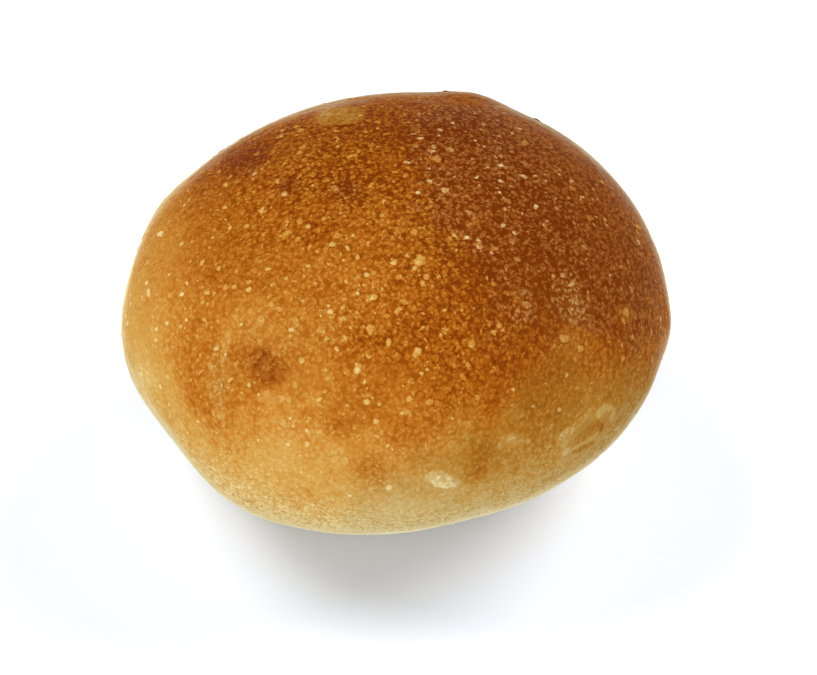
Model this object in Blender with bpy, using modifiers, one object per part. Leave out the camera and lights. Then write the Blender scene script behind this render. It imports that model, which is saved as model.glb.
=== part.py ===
"""A small round bread loaf, baked free-standing on the floor of the oven.

Metres, +Z up. The loaf stands on its flat base at z = 0, with the origin under
the middle of its bounding box. The side that shows most faces -Y, and +X is to
its right.
"""

import math

import bmesh
import bpy
from mathutils import Matrix, Vector, noise
from mathutils.bvhtree import BVHTree

# The shaped dough
LENGTH = 0.1112
BREADTH = 0.1015
HEIGHT = 0.0660
LENGTH_TURN = math.radians(17)  # the long way across lies this far round from +X
WIDEST_LEVEL = 0.0290
CROWN_EXPONENT = 2.05  # 2 is an ellipse, and more is squarer
FOOT_EXPONENT = 2.15
BASE_SINK = 0.0050  # how much of the rounded underside the oven floor pressed flat
BASE_ROUNDING = 0.0028  # the skin leaves the flat base in a curve of this height

# How finely the dough is divided
CAGE_CUTS = 6
SMOOTH_LEVELS = 2

# The uneven skin
RIPPLE_HEIGHT = 0.00035
RIPPLE_LENGTH = 0.016
PUCKER_HEIGHT = 0.00012
PUCKER_LENGTH = 0.0055
FOOT_FADE = 0.006  # the skin's unevenness dies away over this height above the table

# Broad swellings and flats of the hand-rolled dough. Each has an azimuth and an
# elevation in degrees, seen from the middle of the widest level, then its half
# length, half width and height in metres, and the angle in degrees that its long
# way makes with level. Azimuth 0 is +X, and 270 is the side that shows most.
SWELLS = {
    "left_foot_flat": (211, -8, 0.010, 0.010, -0.00150, 0),
    "left_swell": (189, 0, 0.012, 0.010, 0.00105, 90),
    "front_left_swell": (234, -18, 0.013, 0.011, 0.00075, 0),
    "front_foot_swell": (249, -19, 0.012, 0.009, 0.00030, 0),
    "front_right_flat": (288, -19, 0.013, 0.010, -0.00095, 0),
    "right_knob": (354, 1, 0.0070, 0.0050, 0.00100, 90),
    "crown_knob": (68, 29, 0.0100, 0.0065, 0.00120, 90),
    "back_right_flat": (27, 19, 0.016, 0.010, -0.00045, 20),
    "back_left_flat": (141, 25, 0.013, 0.009, -0.00055, 0),
    "back_left_corner": (162, 15, 0.006, 0.006, 0.00050, 0),
}

# Blisters and dimples of the crust, with the same six values.
BLISTERS = {
    "window_blister": (115, 50, 0.0058, 0.0052, 0.00055, 0),
    "side_blister": (317, 2, 0.0088, 0.0036, 0.00060, 12),
    "side_blister_end": (325, 4, 0.0022, 0.0022, 0.00040, 0),
    "left_dimple": (226, 16, 0.0070, 0.0028, -0.00050, 80),
    "left_dimple_lip": (229, 11, 0.0030, 0.0020, 0.00040, 60),
    "dark_dimple": (238, 26, 0.0070, 0.0050, -0.00045, 0),
    "front_blister": (271, 17, 0.0032, 0.0030, 0.00035, 0),
    "front_scab": (280, 4, 0.0034, 0.0020, 0.00035, -15),
    "crown_dimple": (200, 74, 0.0060, 0.0050, -0.00035, 0),
    "right_dimple": (302, 35, 0.0080, 0.0060, -0.00040, 30),
    "back_blister": (35, 62, 0.0045, 0.0040, 0.00045, 0),
    "rear_side_blister": (82, 8, 0.0060, 0.0034, 0.00050, 5),
    "rear_foot_dimple": (150, -4, 0.0070, 0.0040, -0.00060, 20),
}

SWELL_STEEPNESS = 1.0  # a bell shape
BLISTER_STEEPNESS = 1.6  # a flatter top with a clearer edge

CRUST_COLOUR = (0.45, 0.20, 0.045, 1.0)
CRUST_ROUGHNESS = 0.62


def clear_scene():
    for obj in list(bpy.data.objects):
        bpy.data.objects.remove(obj, do_unlink=True)


def dough_cage():
    """A cube cut into even cells and blown up into a squat rounded body."""
    cage = bmesh.new()
    bmesh.ops.create_cube(cage, size=2.0)
    bmesh.ops.subdivide_edges(
        cage, edges=cage.edges[:], cuts=CAGE_CUTS, use_grid_fill=True
    )
    for vert in cage.verts:
        vert.co = rounded(vert.co.normalized())
    return cage


def rounded(direction):
    """The point of the dough's skin that lies in this direction of the cube."""
    level = math.hypot(direction.x, direction.y)
    above = direction.z > 0
    exponent = CROWN_EXPONENT if above else FOOT_EXPONENT
    reach = (level**exponent + abs(direction.z) ** exponent) ** (-1 / exponent)
    rise = HEIGHT - WIDEST_LEVEL if above else WIDEST_LEVEL + BASE_SINK
    return Vector((
        direction.x * reach * LENGTH / 2,
        direction.y * reach * BREADTH / 2,
        direction.z * reach * rise,
    ))


def smoothed(cage):
    """The cage after its Subdivision Surface, as a bmesh."""
    mesh = bpy.data.meshes.new("cage")
    cage.to_mesh(mesh)
    cage.free()
    obj = bpy.data.objects.new("cage", mesh)
    bpy.context.scene.collection.objects.link(obj)
    subdivision = obj.modifiers.new("smooth", "SUBSURF")
    subdivision.levels = subdivision.render_levels = SMOOTH_LEVELS
    graph = bpy.context.evaluated_depsgraph_get()
    fine = bmesh.new()
    fine.from_object(obj, graph)
    bpy.data.objects.remove(obj)
    bpy.data.meshes.remove(mesh)
    return fine


def bounds(dough):
    low = Vector(map(min, zip(*(vert.co for vert in dough.verts))))
    high = Vector(map(max, zip(*(vert.co for vert in dough.verts))))
    return low, high


def bring_to_size(dough):
    """Smoothing draws the skin in a little, so this brings back the stated size."""
    low, high = bounds(dough)
    size = high - low
    wanted = Vector((LENGTH, BREADTH, HEIGHT + BASE_SINK))
    scale = Matrix.Diagonal([w / s for w, s in zip(wanted, size)]).to_4x4()
    sit = Matrix.Translation((0, 0, -BASE_SINK - low.z * wanted.z / size.z))
    turn = Matrix.Rotation(LENGTH_TURN, 4, "Z")
    bmesh.ops.transform(dough, matrix=turn @ sit @ scale, verts=dough.verts)


def outward(azimuth, elevation):
    around, up = math.radians(azimuth), math.radians(elevation)
    return Vector((
        math.cos(around) * math.cos(up),
        math.sin(around) * math.cos(up),
        math.sin(up),
    ))


def lobe(offset, along, half_length, half_width, steepness):
    """A hump: 1 at its centre and nearly 0 a little past its half length and width."""
    lengthwise = offset.dot(along)
    across = (offset - along * lengthwise).length
    away = (lengthwise / half_length) ** 2 + (across / half_width) ** 2
    return math.exp(-(away**steepness))


def raise_marks(dough, marks, steepness):
    """Moves the skin out, or in where a mark's height is negative."""
    dough.normal_update()
    middle = Vector((0, 0, WIDEST_LEVEL))
    skin = BVHTree.FromBMesh(dough)
    heights = [0.0] * len(dough.verts)
    for azimuth, elevation, half_length, half_width, height, turn in marks.values():
        way_out = outward(azimuth, elevation)
        centre = skin.ray_cast(middle, way_out)[0]
        level = Vector((0, 0, 1)).cross(way_out).normalized()
        along = Matrix.Rotation(math.radians(turn), 3, way_out) @ level
        for index, vert in enumerate(dough.verts):
            offset = vert.co - centre
            share = lobe(offset, along, half_length, half_width, steepness)
            heights[index] += height * share
    for vert, height in zip(list(dough.verts), heights):
        vert.co += vert.normal * height


def roughen(dough):
    """Ripples and small puckers over the skin, dying away towards the table."""
    dough.normal_update()
    heights = []
    for vert in dough.verts:
        fade = min(1.0, max(0.0, vert.co.z / FOOT_FADE))
        ripple = RIPPLE_HEIGHT * noise.noise(vert.co / RIPPLE_LENGTH)
        pucker = PUCKER_HEIGHT * noise.noise(vert.co / PUCKER_LENGTH)
        heights.append(fade * (ripple + pucker))
    for vert, height in zip(list(dough.verts), heights):
        vert.co += vert.normal * height


def pressed(level):
    """No lower than 0, and meeting 0 in a curve between plus and minus the rounding."""
    if level >= BASE_ROUNDING:
        return level
    return max(0.0, level + BASE_ROUNDING) ** 2 / (4 * BASE_ROUNDING)


def set_on_table(dough):
    """Presses the underside flat at z = 0 and centres the loaf over the origin."""
    for vert in dough.verts:
        vert.co.z = pressed(vert.co.z)
    low, high = bounds(dough)
    middle = (low + high) / 2
    bmesh.ops.translate(dough, vec=(-middle.x, -middle.y, 0), verts=dough.verts)


def crust_material():
    material = bpy.data.materials.new("crust")
    material.use_nodes = True
    shader = material.node_tree.nodes["Principled BSDF"]
    shader.inputs["Base Color"].default_value = CRUST_COLOUR
    shader.inputs["Roughness"].default_value = CRUST_ROUGHNESS
    shader.inputs["Metallic"].default_value = 0.0
    return material


def main():
    clear_scene()
    collection = bpy.data.collections.new("round_loaf")
    bpy.context.scene.collection.children.link(collection)
    dough = smoothed(dough_cage())
    bring_to_size(dough)
    raise_marks(dough, SWELLS, SWELL_STEEPNESS)
    raise_marks(dough, BLISTERS, BLISTER_STEEPNESS)
    roughen(dough)
    set_on_table(dough)
    bmesh.ops.recalc_face_normals(dough, faces=dough.faces)
    mesh = bpy.data.meshes.new("loaf")
    dough.to_mesh(mesh)
    dough.free()
    mesh.shade_smooth()
    mesh.materials.append(crust_material())
    collection.objects.link(bpy.data.objects.new("loaf", mesh))


main()
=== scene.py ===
import math
import random

import bmesh
import bpy
import numpy as np
from mathutils import Color, Matrix, Vector, noise
from mathutils.bvhtree import BVHTree


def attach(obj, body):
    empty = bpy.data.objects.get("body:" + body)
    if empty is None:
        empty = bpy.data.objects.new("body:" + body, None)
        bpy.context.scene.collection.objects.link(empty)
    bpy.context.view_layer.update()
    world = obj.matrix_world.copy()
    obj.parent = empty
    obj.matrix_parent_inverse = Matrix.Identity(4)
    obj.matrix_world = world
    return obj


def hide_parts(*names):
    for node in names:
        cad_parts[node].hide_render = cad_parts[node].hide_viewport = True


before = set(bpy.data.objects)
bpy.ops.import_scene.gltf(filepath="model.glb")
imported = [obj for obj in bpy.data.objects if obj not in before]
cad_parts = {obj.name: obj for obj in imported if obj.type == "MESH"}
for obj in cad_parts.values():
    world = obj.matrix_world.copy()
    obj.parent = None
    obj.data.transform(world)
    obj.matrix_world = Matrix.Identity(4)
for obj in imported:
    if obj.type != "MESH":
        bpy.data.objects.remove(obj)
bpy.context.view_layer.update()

# ---------------------------------------------------------------------------
# The form of the baked dough. One hand-rolled ball of dough, proved and baked
# uncut on the oven floor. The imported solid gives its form, and a smoothed copy
# of that solid is what the crust is laid over.

FORM_SMOOTH_LEVELS = 2
WELD_DISTANCE = 1e-6
FLAT_ENOUGH = math.radians(40)  # triangles that meet flatter than this become one face
MIDDLE = Vector((0.0, 0.0, 0.029))  # the middle of the loaf's widest level

form_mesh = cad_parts["loaf"].data.copy()
welded = bmesh.new()
welded.from_mesh(form_mesh)
bmesh.ops.remove_doubles(welded, verts=welded.verts, dist=WELD_DISTANCE)
bmesh.ops.join_triangles(
    welded,
    faces=welded.faces,
    angle_face_threshold=FLAT_ENOUGH,
    angle_shape_threshold=FLAT_ENOUGH,
)
welded.to_mesh(form_mesh)
welded.free()
form = bpy.data.objects.new("form", form_mesh)
bpy.context.scene.collection.objects.link(form)
rounding = form.modifiers.new("rounding", "SUBSURF")
rounding.levels = rounding.render_levels = FORM_SMOOTH_LEVELS

form_skin = BVHTree.FromObject(form, bpy.context.evaluated_depsgraph_get())


def outward(azimuth, elevation):
    """The direction from the middle, in degrees. Azimuth 0 is +X and 270 the front."""
    around, up = math.radians(azimuth), math.radians(elevation)
    level = math.cos(up)
    return Vector((math.cos(around) * level, math.sin(around) * level, math.sin(up)))


def on_skin(azimuth, elevation):
    """Where the crust lies in that direction."""
    return form_skin.ray_cast(MIDDLE, outward(azimuth, elevation))[0]


def add(tree, kind, feeds=None, **settings):
    """A new node, each of its inputs fed by a value or by another node's socket."""
    made = tree.nodes.new(kind)
    for name, value in settings.items():
        setattr(made, name, value)
    for name, value in (feeds or {}).items():
        if isinstance(value, bpy.types.NodeSocket):
            tree.links.new(value, made.inputs[name])
        else:
            made.inputs[name].default_value = value
    return made


def maths(tree, operation, *values, clamp=False):
    kind = "ShaderNodeMath"
    made = add(tree, kind, dict(enumerate(values)), operation=operation, use_clamp=clamp)
    return made.outputs[0]


def vector_maths(tree, operation, *values):
    made = add(tree, "ShaderNodeVectorMath", dict(enumerate(values)), operation=operation)
    return made.outputs["Value" if operation in ("DOT_PRODUCT", "LENGTH") else "Vector"]


def part(tree, vector, axis):
    """One of a vector's three numbers."""
    return add(tree, "ShaderNodeSeparateXYZ", {"Vector": vector}).outputs[axis]


def step_up(tree, value, low, high):
    """0 below low, 1 above high, and a smooth rise between them."""
    feeds = {"Value": value, "From Min": low, "From Max": high}
    made = add(tree, "ShaderNodeMapRange", feeds, interpolation_type="SMOOTHSTEP", clamp=False)
    return made.outputs["Result"]


def cloudy(tree, place, length, detail, roughness=0.5):
    """Noise of this length, whose values lie round a half."""
    feeds = {"Vector": place, "Detail": detail, "Roughness": roughness}
    feeds["Scale"] = 1 / length
    return add(tree, "ShaderNodeTexNoise", feeds)


def off_half(tree, noisy):
    """How far a noise is off a half, as a number."""
    return maths(tree, "SUBTRACT", noisy.outputs["Fac"], 0.5)


def thrown(tree, noisy, reach):
    """Steps in all directions from a noise's colour, up to about this long."""
    off = vector_maths(tree, "SUBTRACT", noisy.outputs["Color"], (0.5,) * 3)
    return vector_maths(tree, "MULTIPLY", off, (reach,) * 3)


def open_group(name, kind, inputs, outputs):
    """An empty node group with its sockets, and its input and output nodes."""
    tree = bpy.data.node_groups.new(name, kind)
    for label, socket, value in inputs:
        made = tree.interface.new_socket(label, in_out="INPUT", socket_type=socket)
        if value is not None:
            made.default_value = value
    for label, socket in outputs:
        tree.interface.new_socket(label, in_out="OUTPUT", socket_type=socket)
    return tree, tree.nodes.new("NodeGroupInput"), tree.nodes.new("NodeGroupOutput")


# ---------------------------------------------------------------------------
# How far each place has baked. The crown faces the heat and browns most, and the
# side near the oven floor stays pale. Patches that stood proud or folded in the
# proving dough are darker or paler than what lies round them, and other patches are
# painted light and shade. The khaki share is partly painted shade, a duller tone on
# the lower right and the foot.

BROWNING_AT_MIDDLE = 0.335
HOTTEST = (0.171, -0.036, 0.535)  # how fast browning grows along X, Y and up
DEEP_DIRECTION, DEEP_OVER = outward(5, 44), (0.71, 0.81)  # cosines of the way there
DEEP_CLOUD_SHARE, DEEP_BROAD_SHARE = 0.28, 0.30  # how unevenly its border runs
DEEP_FROM = (0.50, 0.72)  # the browning over which deep brown takes over there
# khaki: a duller tone toward the lower right front, partly painted shade there
KHAKI_DIRECTION, KHAKI_OVER = outward(301, -30), (0.56, 0.76)
KHAKI_CLOUD_SHARE = 0.18

MILLIMETRE = 0.001

# Soft stains, and soft patches of painted light and shade: the entries named light,
# shade or dusk make the crust paler or darker there to stand in for how the light
# falls. Azimuth, elevation, half length, half width (mm), turn (degrees), then
# what each adds: browning, deep brown, khaki and flour.
STAINS = {
    "smudge, left": (233, 27, 2.2, 1.6, 20, 0.09, 0.1, 0, 0),
    "smudge, right": (241, 25, 2.2, 1.4, 60, 0.09, 0.1, 0, 0),
    "smudge, core": (236, 26, 3, 2, 10, 0.12, 0.3, 0, 0),
    "smudge, low": (239, 23, 2.4, 0.8, 24, 0.11, 0, 0, 0),
    "smudge, round": (237, 26, 6.6, 4.4, 8, 0.1, 0.1, 0.1, 0),
    "left arc, high": (215, 25, 3.8, 2.4, -84, 0.05, 0, 0, 0),
    "left arc, middle": (218, 17, 4.6, 2.8, -61, 0.06, 0, 0, 0),
    "left arc, low": (224, 11, 3.9, 2.6, -22, 0.06, 0, 0, 0),
    "left shoulder": (163, 39, 11, 9.2, -32, 0.1, 0.1, 0, 0),
    "top edge, left": (160, 44, 5.6, 4, 43, 0.11, 0.4, 0, 0),
    "crown smudge": (204, 74, 3.1, 3.1, 0, 0.13, 0.7, 0, 0),
    "crown smudge, left": (183, 59, 2.7, 2.5, 0, 0.12, 0.5, 0, 0),
    "crown smudge, front": (225, 57, 3.1, 2.8, 35, 0.1, 0, 0, 0),
    "orange spot": (264, 8, 3.1, 2.9, 0, 0.13, 0, 0, 0),
    "orange oval": (270, 17, 2.8, 2.5, 0, 0.1, 0, 0, 0),
    "orange oval, left": (257, 17, 3.2, 1.9, -14, 0.1, 0, 0, 0),
    "orange oval, far left": (251, 19, 1.9, 1.5, 12, 0.08, 0, 0, 0),
    "drip": (288, 7, 6.2, 2.4, 81, 0.05, 0, -0.15, 0),
    "drip, top": (293, 19, 4.7, 1.5, 64, 0.05, 0, -0.4, 0),
    "front shade": (285, 27, 5.2, 4, 9, 0.04, 0, 0, 0),
    "right shade": (315, 31, 4.7, 3.1, -29, 0.08, 0, 0, 0),
    "crown shade": (306, 49, 4.7, 3.6, 11, 0.07, 0, 0, 0),
    "left dent": (227, 18, 5.6, 2.8, -60, 0.02, 0, 0.25, 0.14),
    "right frosting": (325, 31, 2.8, 3.4, -42, -0.02, 0, 0.1, 0.42),
    "right frosting, core": (325, 31, 1.4, 2, -42, -0.05, 0, 0, 0.5),
    "middle frosting": (311, 37, 2.4, 3, -44, -0.03, 0, 0.05, 0.36),
    "yellow spot": (337, 20, 2.6, 1.6, -40, -0.14, 0, 0.6, 0),
    "olive": (309, 21, 7.5, 4, 6, -0.03, 0, 0.6, 0),
    "pale cluster": (296, 10, 2.4, 1.5, -20, -0.1, 0, 0.3, 0.75),
    "pale cluster, high": (298, 16, 1.8, 1.3, -19, -0.08, 0, 0.5, 0.2),
    "crown light": (258, 66, 24, 19, 0, -0.16, 0, 0, 0),
    "low light": (237, 1, 7.7, 4.5, -19, -0.05, 0, 0, 0),
    "front light": (255, 18, 12, 12, 0, -0.11, 0, 0.08, 0),
    "front light, high": (246, 35, 5, 5, 0, -0.06, 0, 0.15, 0),
    "front light, left": (233, 34, 5, 5, 0, -0.07, 0, 0.13, 0),
    "front smudge": (260, 22, 5, 5, 0, 0.13, 0, 0.05, 0),
    "front shade, high": (274, 37, 5, 5, 0, 0.06, 0, 0, 0),
    "left foot light": (206, 4, 5, 5, 0, -0.08, 0, 0, 0),
    "left cheek": (228, 16, 8, 8, 0, 0.09, 0, 0.04, 0),
    "left crown": (198, 45, 12, 12, 0, 0.09, -0.1, 0, 0),
    "far left shoulder": (154, 35, 8, 8, 0, 0.13, -0.2, 0, 0),
    "crown edge": (279, 63, 18, 18, 0, -0.02, -0.4, 0, 0),
    "crown gap": (305, 55, 8, 8, 0, 0.05, 0, 0, 0),
    "crown dusk": (205, 68, 8, 8, 0, 0.05, 0, -0.1, 0),
    "back gap": (49, 58, 5, 5, 0, 0.1, -0.2, 0, 0),
    "left low light": (244, 6, 5, 5, 0, -0.06, 0, 0, 0),
    "foot light": (273, -3, 5, 5, 0, -0.06, 0, 0, 0),
    "olive light": (319, 14, 5, 5, 0, -0.05, 0, 0, 0),
    "right spot": (333, 19, 5, 5, 0, 0.06, -0.2, 0.05, 0),
    "right brown": (320, 40, 18, 18, 0, 0.07, 0.05, 0.08, 0),
    "right cheek": (347, 16, 12, 12, 0, 0.1, -0.1, 0.18, 0),
    "scab shade": (292, 5, 5, 5, 0, 0.04, 0, 0, 0),
    "olive edge": (301, 20, 8, 8, 0, 0.05, 0, -0.17, 0),
    "left light": (224, 33, 4.9, 3.3, 49, -0.05, 0, 0, 0),
    "frost foot": (319, 28, 5, 5, 0, -0.08, 0.2, 0.17, 0),
    "far right dusk": (8, 31, 12, 12, 0, 0.05, -0.3, 0.15, 0),
    "drip shade": (289, 6, 5, 5, 0, 0.05, 0, 0.05, 0),
    "right dusk": (320, 40, 5, 5, 0, 0.06, 0, 0.15, 0),
    "smudge light": (230, 26, 5, 5, 0, -0.04, 0, 0.08, 0),
    "deep light": (22, 63, 5, 5, 0, -0.06, 0, 0, 0),
    "crown left light": (197, 53, 5, 5, 0, -0.05, 0.1, 0, 0),
    "mid light": (265, 47, 5, 5, 0, -0.05, 0, 0, 0),
    "crown light, back": (257, 73, 5, 5, 0, -0.05, 0, 0, 0),
    "drip light": (286, 17, 5, 5, 0, -0.04, 0, 0.1, 0),
    "window shade": (137, 44, 12, 12, 0, 0.05, -0.1, 0, 0),
    "deep tongue": (301, 36, 5, 5, 0, -0.02, 0.25, 0, 0),
}

# Blisters and folds with a clear edge, in the same nine values
BLISTERS = {
    "window": (117, 53, 5, 4.7, -25, -0.22, 0, 0.7, 0.04),
    "window rim": (119, 45, 4.6, 1.2, 50, -0.12, 0, 0, 0.12),
    "window foot": (121, 60, 3.5, 0.6, -37, 0.16, 0, -0.3, 0),
    "left ring": (227, 18, 5.6, 2.4, -62, -0.06, 0, 0, 0.12),
    "left ring, inside": (227, 18, 4.8, 1.7, -62, 0.05, 0, 0.1, 0),
    "left film": (228, 16, 2.8, 1.2, -66, -0.03, 0, 0.15, 0.14),
    "left loop, spot": (231, 13, 1.2, 1, 54, -0.1, 0, 0.2, 0.2),
    "low oval": (240, 20, 2, 1, 0, -0.08, 0, 0.1, 0.08),
    "left loop, top": (225, 26, 2.2, 0.9, -64, -0.11, 0, 0.2, 0.12),
    "pale oval, right": (233, 26, 1.2, 0.7, 44, -0.15, 0, 0, 0.1),
    "pale oval, far right": (238, 29, 0.9, 0.6, 34, -0.12, 0, 0, 0.05),
    "streak": (330, 34, 1.6, 0.4, -11, -0.3, 0, 0, 0.8),
    "side skin": (315, 2, 7.8, 4.6, 12, -0.05, 0, 1, 0.12),
    "side band": (313, 7, 4.4, 0.9, 15, -0.08, 0, 0.2, 0.24),
    "side film": (309, 5, 2.5, 1.7, 50, -0.09, 0, 0.1, 0.32),
    "side hollow": (315, 3, 3.8, 1.7, 10, 0.09, 0, -0.5, 0),
    "side ridge": (314, 0.5, 4.2, 0.8, 6, -0.08, 0, 0.2, 0.12),
    "side crease": (314, -1, 3, 1, -4, 0.16, 0, -0.9, -0.1),
    "side crease, high": (319, 2, 2, 0.5, 60, 0.16, 0, -0.7, -0.1),
    "side knob, high": (320, 6, 1.8, 1.4, -10, -0.15, 0, 0.5, 0.24),
    "side knob, inside": (320, 5, 0.9, 0.6, -10, 0.12, 0, -0.2, -0.15),
    "side knob, foot": (322, 3, 1.5, 0.6, 70, -0.1, 0, 0.4, 0.08),
    "side knob, low": (309, 1, 1.1, 0.9, 34, -0.17, 0, 0.4, 0.5),
    "scab": (280, 4, 3.6, 1.7, -28, -0.14, 0, 0.2, 1.1),
}
STAIN_SOFTNESS, BLISTER_SOFTNESS = 0.75, 0.16
MARK_DEPTH = 8  # a mark reaches this far (mm) into and out of the skin

BROAD_LENGTH, BROAD_DETAIL, BROAD_SHARE = 0.014, 2.0, 0.14
CLOUD_LENGTH, CLOUD_DETAIL, CLOUD_ROUGHNESS, CLOUD_SHARE = 0.0045, 3.0, 0.6, 0.20
STRAY_LENGTH, STRAY_DETAIL, STRAY = 0.0030, 2.0, 0.0022  # how the marks' edges wander

FOOT_START, FOOT_FULL = 0.08, -0.34  # how far up a way points, from here to the foot
# the foot is paler, and its khaki partly paints the shade low on the loaf
FOOT_BROWNING, FOOT_KHAKI = -0.12, 1.0
SOLE_TOP, SOLE_FOOT = 0.0026, 0.0006  # levels between which the pressed sole begins
SOLE_BROWNING, SOLE_FLOUR = 0.55, 0.35

# How strongly the fine mottling shows: on the side, then what the crown, the foot,
# the low part over these ways up, the deep brown and chance patches add
GRAINY_SIDE = 0.66
GRAINY_CROWN, CROWN_OVER = 0.30, (0.45, 0.90)
GRAINY_FOOT = 1.8
GRAINY_LOW, LOW_OVER = 0.7, (0.30, -0.30)
GRAINY_DEEP, GRAINY_PATCHES = 0.10, 0.8

bake, given, result = open_group(
    "bake",
    "ShaderNodeTree",
    [("Place", "NodeSocketVector", None)],
    [
        (name, "NodeSocketFloat")
        for name in ("Browning", "Deep", "Khaki", "Flour", "Graininess", "Sandiness")
    ],
)
place = given.outputs["Place"]
from_middle = vector_maths(bake, "SUBTRACT", place, MIDDLE)
direction = vector_maths(bake, "NORMALIZE", from_middle)

broad_off = off_half(bake, cloudy(bake, place, BROAD_LENGTH, BROAD_DETAIL))
cloud = cloudy(bake, place, CLOUD_LENGTH, CLOUD_DETAIL, CLOUD_ROUGHNESS)
cloud_off = off_half(bake, cloud)

browning = vector_maths(bake, "DOT_PRODUCT", direction, HOTTEST)
browning = maths(bake, "ADD", browning, BROWNING_AT_MIDDLE)
browning = maths(bake, "MULTIPLY_ADD", broad_off, BROAD_SHARE, browning)
browning = maths(bake, "MULTIPLY_ADD", cloud_off, CLOUD_SHARE, browning)
upward = part(bake, direction, "Z")
foot = step_up(bake, upward, FOOT_START, FOOT_FULL)
browning = maths(bake, "MULTIPLY_ADD", foot, FOOT_BROWNING, browning)
sole = step_up(bake, part(bake, place, "Z"), SOLE_TOP, SOLE_FOOT)
browning = maths(bake, "MULTIPLY_ADD", sole, SOLE_BROWNING, browning)

toward_deep = vector_maths(bake, "DOT_PRODUCT", direction, DEEP_DIRECTION)
toward_deep = maths(bake, "MULTIPLY_ADD", cloud_off, DEEP_CLOUD_SHARE, toward_deep)
toward_deep = maths(bake, "MULTIPLY_ADD", broad_off, DEEP_BROAD_SHARE, toward_deep)
deep = step_up(bake, toward_deep, *DEEP_OVER)
deep = maths(bake, "MULTIPLY", deep, step_up(bake, browning, *DEEP_FROM))
toward_khaki = vector_maths(bake, "DOT_PRODUCT", direction, KHAKI_DIRECTION)
toward_khaki = maths(bake, "MULTIPLY_ADD", cloud_off, KHAKI_CLOUD_SHARE, toward_khaki)
khaki = step_up(bake, toward_khaki, *KHAKI_OVER)
khaki = maths(bake, "MAXIMUM", khaki, maths(bake, "MULTIPLY", foot, FOOT_KHAKI))
flour = maths(bake, "MULTIPLY", sole, SOLE_FLOUR)
graininess = GRAINY_SIDE
for share, more in (
    (step_up(bake, upward, *CROWN_OVER), GRAINY_CROWN),
    (broad_off, GRAINY_PATCHES),
    (foot, GRAINY_FOOT),
    (step_up(bake, upward, *LOW_OVER), GRAINY_LOW),
    (deep, GRAINY_DEEP),
):
    graininess = maths(bake, "MULTIPLY_ADD", share, more, graininess)
bake.links.new(graininess, result.inputs["Graininess"])
bake.links.new(foot, result.inputs["Sandiness"])

stray = thrown(bake, cloudy(bake, place, STRAY_LENGTH, STRAY_DETAIL), STRAY)
strayed = vector_maths(bake, "ADD", stray, place)


def facing(way_out, turn):
    """The turn of a mark's own axes: its long way, its width and the way out."""
    level = Vector((0, 0, 1)).cross(way_out).normalized()
    axes = Matrix((level, way_out.cross(level), way_out)).transposed()
    return axes @ Matrix.Rotation(math.radians(turn), 3, "Z")


totals = [browning, deep, khaki, flour]
for marks, softness in ((STAINS, STAIN_SOFTNESS), (BLISTERS, BLISTER_SOFTNESS)):
    for azimuth, elevation, half_length, half_width, turn, *changes in marks.values():
        way_out = outward(azimuth, elevation)
        own = vector_maths(bake, "SUBTRACT", strayed, on_skin(azimuth, elevation))
        turned = {"Vector": own, "Rotation": facing(way_out, turn).to_euler()}
        own = add(bake, "ShaderNodeVectorRotate", turned, rotation_type="EULER_XYZ", invert=True)
        halves = (half_length, half_width, max(half_length, MARK_DEPTH))
        halves = [half * MILLIMETRE for half in halves]
        own = vector_maths(bake, "DIVIDE", own.outputs["Vector"], halves)
        away = vector_maths(bake, "LENGTH", own)
        share = step_up(bake, away, 1 + softness, 1 - softness)
        for index, change in enumerate(changes):
            if change:
                total = maths(bake, "MULTIPLY_ADD", share, change, totals[index])
                totals[index] = total
for total, name in zip(totals, ("Browning", "Deep", "Khaki", "Flour")):
    bake.links.new(total, result.inputs[name])

# ---------------------------------------------------------------------------
# The colour of crust for how far it has baked: three families that run from pale
# to dark. Most of the loaf is golden, the face nearest the heat is a duller deep
# brown, and the right foot is khaki, a duller, greyer tone that partly paints the
# shade there. Flour lies on it in places.

# browning, then the colour it is seen as in the studio's light, 0 to 255
GOLDEN = (
    (0.05, (230, 202, 138)),
    (0.20, (213, 169, 89)),
    (0.30, (206, 153, 70)),
    (0.40, (198, 132, 48)),
    (0.50, (186, 114, 33)),
    (0.60, (174, 99, 21)),
    (0.70, (159, 84, 13)),
    (0.80, (145, 72, 9)),
    (0.92, (125, 54, 4)),
)
DEEP_BROWN = (
    (0.05, (228, 202, 152)),
    (0.40, (191, 134, 73)),
    (0.50, (179, 116, 58)),
    (0.60, (167, 103, 48)),
    (0.70, (155, 89, 37)),
    (0.80, (142, 75, 24)),
    (0.90, (128, 59, 11)),
    (1.00, (115, 47, 3)),
)
KHAKI = (
    (0.05, (222, 200, 145)),
    (0.20, (203, 177, 115)),
    (0.30, (195, 164, 99)),
    (0.38, (190, 151, 80)),
    (0.46, (184, 137, 62)),
    (0.54, (176, 122, 43)),
    (0.62, (167, 109, 31)),
    (0.75, (152, 90, 20)),
    (0.90, (134, 68, 10)),
)
FLOUR = (214, 186, 124)
STUDIO_LIGHT = 1.22  # what the crust sends back is this much brighter than its colour


def as_light(colour):
    """The crust's own colour, as amounts of light, from the colour it is seen as."""
    seen = Color([channel / 255 for channel in colour])
    return [amount / STUDIO_LIGHT for amount in seen.from_srgb_to_scene_linear()] + [1.0]


def ramp(tree, stops, value):
    made = add(tree, "ShaderNodeValToRGB", {"Fac": value})
    band = made.color_ramp
    while len(band.elements) < len(stops):
        band.elements.new(0.5)
    for element, (at, colour) in zip(band.elements, stops):
        element.position = at
        element.color = as_light(colour)
    return made.outputs["Color"]


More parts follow.
